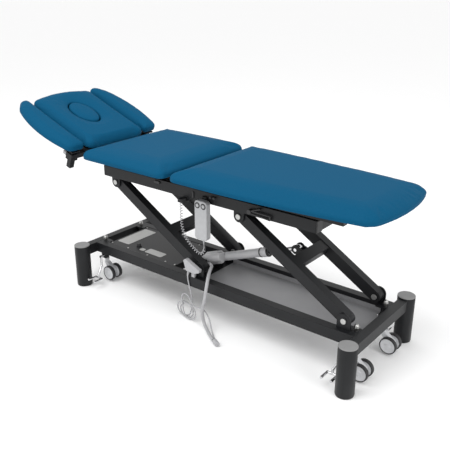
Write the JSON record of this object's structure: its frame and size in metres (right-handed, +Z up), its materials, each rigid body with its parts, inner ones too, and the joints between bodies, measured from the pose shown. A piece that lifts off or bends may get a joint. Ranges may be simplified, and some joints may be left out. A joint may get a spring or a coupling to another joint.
{
  "type": "examination table",
  "caption": "Height-adjustable examination table: steel base on posts with drop-down casters, electric arm lift, sectioned padded top with face opening and armrests.",
  "frame": {"origin": "on the floor, in the middle of the four base posts", "axes": "+X to the foot end, +Y to the far side (away from the handset), +Z up"},
  "size_m": [2.01, 0.644, 0.8994],
  "materials": {
    "charcoal_paint": "satin",
    "grey_caps": "matt",
    "black_rubber": "matt",
    "grey_sheet": "satin",
    "dark_sheet": "satin",
    "black_plastic": "matt",
    "zinc_steel": "plated",
    "grey_cable": "matt",
    "light_plastic": "satin",
    "button_plastic": "matt",
    "bright_steel": "polished",
    "spring_black": "gloss",
    "blue_vinyl": "satin",
    "caster_grey": "satin",
    "caster_black": "matt"
  },
  "bodies": {
    "base": {"base_side_rails": "charcoal_paint", "base_end_beams": "charcoal_paint", "corner_posts": "charcoal_paint", "post_caps": "grey_caps", "post_glides": "black_rubber", "base_brackets": "charcoal_paint", "base_pivot_bolts": "zinc_steel", "tray": "grey_sheet", "controls_cover": "dark_sheet", "control_box": "black_plastic", "cable_box": "black_plastic", "mains_lead": "grey_cable", "mains_coil": "grey_cable", "lead_tail": "grey_cable", "cable_sleeve": "grey_cable", "lead_plug": "black_plastic"},
    "head_lift": {"head_lift_arms": "charcoal_paint", "head_lift_cross_tube": "charcoal_paint"},
    "foot_lift": {"foot_lift_arms": "charcoal_paint", "foot_lift_cross_tube": "charcoal_paint"},
    "actuator_rod": {"actuator_rod": "bright_steel"},
    "actuator_housing": {"actuator_housing": "light_plastic"},
    "top_frame": {"top_side_rails": "charcoal_paint", "top_cross_members": "charcoal_paint", "top_lugs": "charcoal_paint", "top_pivot_pins": "zinc_steel", "mid_pad": "blue_vinyl", "handset": "light_plastic", "handset_hook": "zinc_steel", "handset_cord": "grey_cable"},
    "up_button": {"up_button": "button_plastic"},
    "down_button": {"down_button": "button_plastic"},
    "leg_section": {"leg_frame": "charcoal_paint", "leg_pad": "blue_vinyl"},
    "leg_spring_cylinder": {"leg_spring_cylinder": "spring_black"},
    "leg_spring_rod": {"leg_spring_rod": "zinc_steel"},
    "release_lever": {"leg_release_lever": "zinc_steel"},
    "head_section": {"head_frame": "charcoal_paint", "head_pad": "blue_vinyl"},
    "face_plug": {"face_plug": "blue_vinyl"},
    "head_spring_cylinder": {"head_spring_cylinder": "spring_black"},
    "head_spring_rod": {"head_spring_rod": "zinc_steel"},
    "armrest_near": {"armrest_pad_near": "blue_vinyl", "armrest_post_near": "charcoal_paint"},
    "clamp_knob_near": {"clamp_knob_near": "black_plastic"},
    "armrest_far": {"armrest_pad_far": "blue_vinyl", "armrest_post_far": "charcoal_paint"},
    "clamp_knob_far": {"clamp_knob_far": "black_plastic"},
    "pedals_head": {"caster_pedals_head": "bright_steel"},
    "carriage_head": {"caster_carriage_head": "zinc_steel"},
    "swivel_head_near": {"caster_fork_head_near": "caster_grey"},
    "wheels_head_near": {"caster_wheels_head_near": "caster_black"},
    "swivel_head_far": {"caster_fork_head_far": "caster_grey"},
    "wheels_head_far": {"caster_wheels_head_far": "caster_black"},
    "pedals_foot": {"caster_pedals_foot": "bright_steel"},
    "carriage_foot": {"caster_carriage_foot": "zinc_steel"},
    "swivel_foot_near": {"caster_fork_foot_near": "caster_grey"},
    "wheels_foot_near": {"caster_wheels_foot_near": "caster_black"},
    "swivel_foot_far": {"caster_fork_foot_far": "caster_grey"},
    "wheels_foot_far": {"caster_wheels_foot_far": "caster_black"}
  },
  "joints": [
    {"name": "lift", "type": "hinge", "parent": "base", "child": "head_lift", "pos_m": [-0.067, 0, 0.243], "axis": [0, 1, 0], "range_deg": [-20, 20]},
    {"name": "foot_lift_swing", "type": "hinge", "parent": "base", "child": "foot_lift", "pos_m": [0.672, 0, 0.243], "axis": [0, 1, 0], "range_deg": [-20.5, 20.5]},
    {"name": "top_level", "type": "hinge", "parent": "head_lift", "child": "top_frame", "pos_m": [-0.5813, 0, 0.55202], "axis": [0, 1, 0], "range_deg": [-20.5, 20.5]},
    {"name": "rod_swing", "type": "hinge", "parent": "foot_lift", "child": "actuator_rod", "pos_m": [0.358, 0, 0.412], "axis": [0, 1, 0], "range_deg": [-28.8, 28.8]},
    {"name": "actuator_stroke", "type": "slide", "parent": "actuator_rod", "child": "actuator_housing", "axis": [-0.9346, 0, -0.3556], "range_m": [-0.0925, 0.0925]},
    {"name": "leg_raise", "type": "hinge", "parent": "top_frame", "child": "leg_section", "pos_m": [-0.045, 0, 0.668], "axis": [0, -1, 0], "range_deg": [0, 40]},
    {"name": "leg_spring_swing", "type": "hinge", "parent": "top_frame", "child": "leg_spring_cylinder", "pos_m": [-0.3, 0, 0.56], "axis": [0, -1, 0], "range_deg": [-0.5, 12.6]},
    {"name": "leg_spring_stroke", "type": "slide", "parent": "leg_spring_cylinder", "child": "leg_spring_rod", "axis": [0.9991, 0, 0.0416], "range_m": [-0.001, 0.0545]},
    {"name": "release_lever", "type": "hinge", "parent": "top_frame", "child": "release_lever", "pos_m": [0.236, -0.183, 0.601], "axis": [0, -1, 0], "range_deg": [0, 15], "stiffness_Nm_per_rad": 0.4, "springref_deg": -11.46},
    {"name": "head_tilt", "type": "hinge", "parent": "top_frame", "child": "head_section", "pos_m": [-0.735, 0, 0.65], "axis": [0, 1, 0], "range_deg": [-80.5, 15]},
    {"name": "head_spring_swing", "type": "hinge", "parent": "top_frame", "child": "head_spring_cylinder", "pos_m": [-0.41, 0, 0.612], "axis": [0, 1, 0], "range_deg": [-4.4, 1]},
    {"name": "head_spring_stroke", "type": "slide", "parent": "head_spring_cylinder", "child": "head_spring_rod", "axis": [-1, 0, 0.001], "range_m": [-0.0715, 0.0142]},
    {"name": "armrest_height_near", "type": "slide", "parent": "head_section", "child": "armrest_near", "axis": [0.3502, 0, 0.9367], "range_m": [-0.012, 0.038]},
    {"name": "clamp_turn_near", "type": "hinge", "parent": "head_section", "child": "clamp_knob_near", "pos_m": [-0.80612, -0.246, 0.67766], "axis": [-0.9367, 0, 0.3502], "continuous": true},
    {"name": "armrest_height_far", "type": "slide", "parent": "head_section", "child": "armrest_far", "axis": [0.3502, 0, 0.9367], "range_m": [-0.012, 0.038]},
    {"name": "clamp_turn_far", "type": "hinge", "parent": "head_section", "child": "clamp_knob_far", "pos_m": [-0.80612, 0.246, 0.67766], "axis": [-0.9367, 0, 0.3502], "continuous": true},
    {"name": "face_plug_lift", "type": "slide", "parent": "head_section", "child": "face_plug", "axis": [0.3502, 0, 0.9367], "range_m": [0, 0.08]},
    {"name": "up_press", "type": "slide", "parent": "top_frame", "child": "up_button", "axis": [0, 1, 0], "range_m": [0, 0.0025], "stiffness_N_per_m": 300, "springref_m": -0.001},
    {"name": "down_press", "type": "slide", "parent": "top_frame", "child": "down_button", "axis": [0, 1, 0], "range_m": [0, 0.0025], "stiffness_N_per_m": 300, "springref_m": -0.001},
    {"name": "pedal_head", "type": "hinge", "parent": "base", "child": "pedals_head", "pos_m": [-0.69, 0, 0.143], "axis": [0, -1, 0], "range_deg": [0, 30]},
    {"name": "carriage_drop_head", "type": "slide", "parent": "base", "child": "carriage_head", "axis": [0, 0, -1], "range_m": [-0.0005, 0.0085]},
    {"name": "swivel_head_near", "type": "hinge", "parent": "carriage_head", "child": "swivel_head_near", "pos_m": [-0.716, -0.126, 0.1], "axis": [0, 0, 1], "continuous": true},
    {"name": "roll_head_near", "type": "hinge", "parent": "swivel_head_near", "child": "wheels_head_near", "pos_m": [-0.678, -0.126, 0.0405], "axis": [0, 1, 0], "continuous": true},
    {"name": "swivel_head_far", "type": "hinge", "parent": "carriage_head", "child": "swivel_head_far", "pos_m": [-0.716, 0.126, 0.1], "axis": [0, 0, 1], "continuous": true},
    {"name": "roll_head_far", "type": "hinge", "parent": "swivel_head_far", "child": "wheels_head_far", "pos_m": [-0.678, 0.126, 0.0405], "axis": [0, 1, 0], "continuous": true},
    {"name": "pedal_foot", "type": "hinge", "parent": "base", "child": "pedals_foot", "pos_m": [0.69, 0, 0.143], "axis": [0, 1, 0], "range_deg": [0, 30]},
    {"name": "carriage_drop_foot", "type": "slide", "parent": "base", "child": "carriage_foot", "axis": [0, 0, -1], "range_m": [-0.0005, 0.0085]},
    {"name": "swivel_foot_near", "type": "hinge", "parent": "carriage_foot", "child": "swivel_foot_near", "pos_m": [0.716, -0.126, 0.1], "axis": [0, 0, 1], "continuous": true},
    {"name": "roll_foot_near", "type": "hinge", "parent": "swivel_foot_near", "child": "wheels_foot_near", "pos_m": [0.754, -0.126, 0.0405], "axis": [0, 1, 0], "continuous": true},
    {"name": "swivel_foot_far", "type": "hinge", "parent": "carriage_foot", "child": "swivel_foot_far", "pos_m": [0.716, 0.126, 0.1], "axis": [0, 0, 1], "continuous": true},
    {"name": "roll_foot_far", "type": "hinge", "parent": "swivel_foot_far", "child": "wheels_foot_far", "pos_m": [0.754, 0.126, 0.0405], "axis": [0, 1, 0], "continuous": true}
  ],
  "couplings": [
    {"joint": "foot_lift_swing", "follows": "lift", "ratio": 1},
    {"joint": "top_level", "follows": "lift", "ratio": -1},
    {"joint": "rod_swing", "follows": "lift", "ratio": -1.4183},
    {"joint": "actuator_stroke", "follows": "lift", "m_per_rad": 0.2605},
    {"joint": "leg_spring_swing", "follows": "leg_raise", "ratio": 0.3041},
    {"joint": "leg_spring_stroke", "follows": "leg_raise", "m_per_rad": 0.07653},
    {"joint": "head_spring_swing", "follows": "head_tilt", "ratio": 0.0518},
    {"joint": "head_spring_stroke", "follows": "head_tilt", "m_per_rad": 0.05009},
    {"joint": "carriage_drop_head", "follows": "pedal_head", "m_per_rad": 0.01432},
    {"joint": "carriage_drop_foot", "follows": "pedal_foot", "m_per_rad": 0.01432}
  ]
}
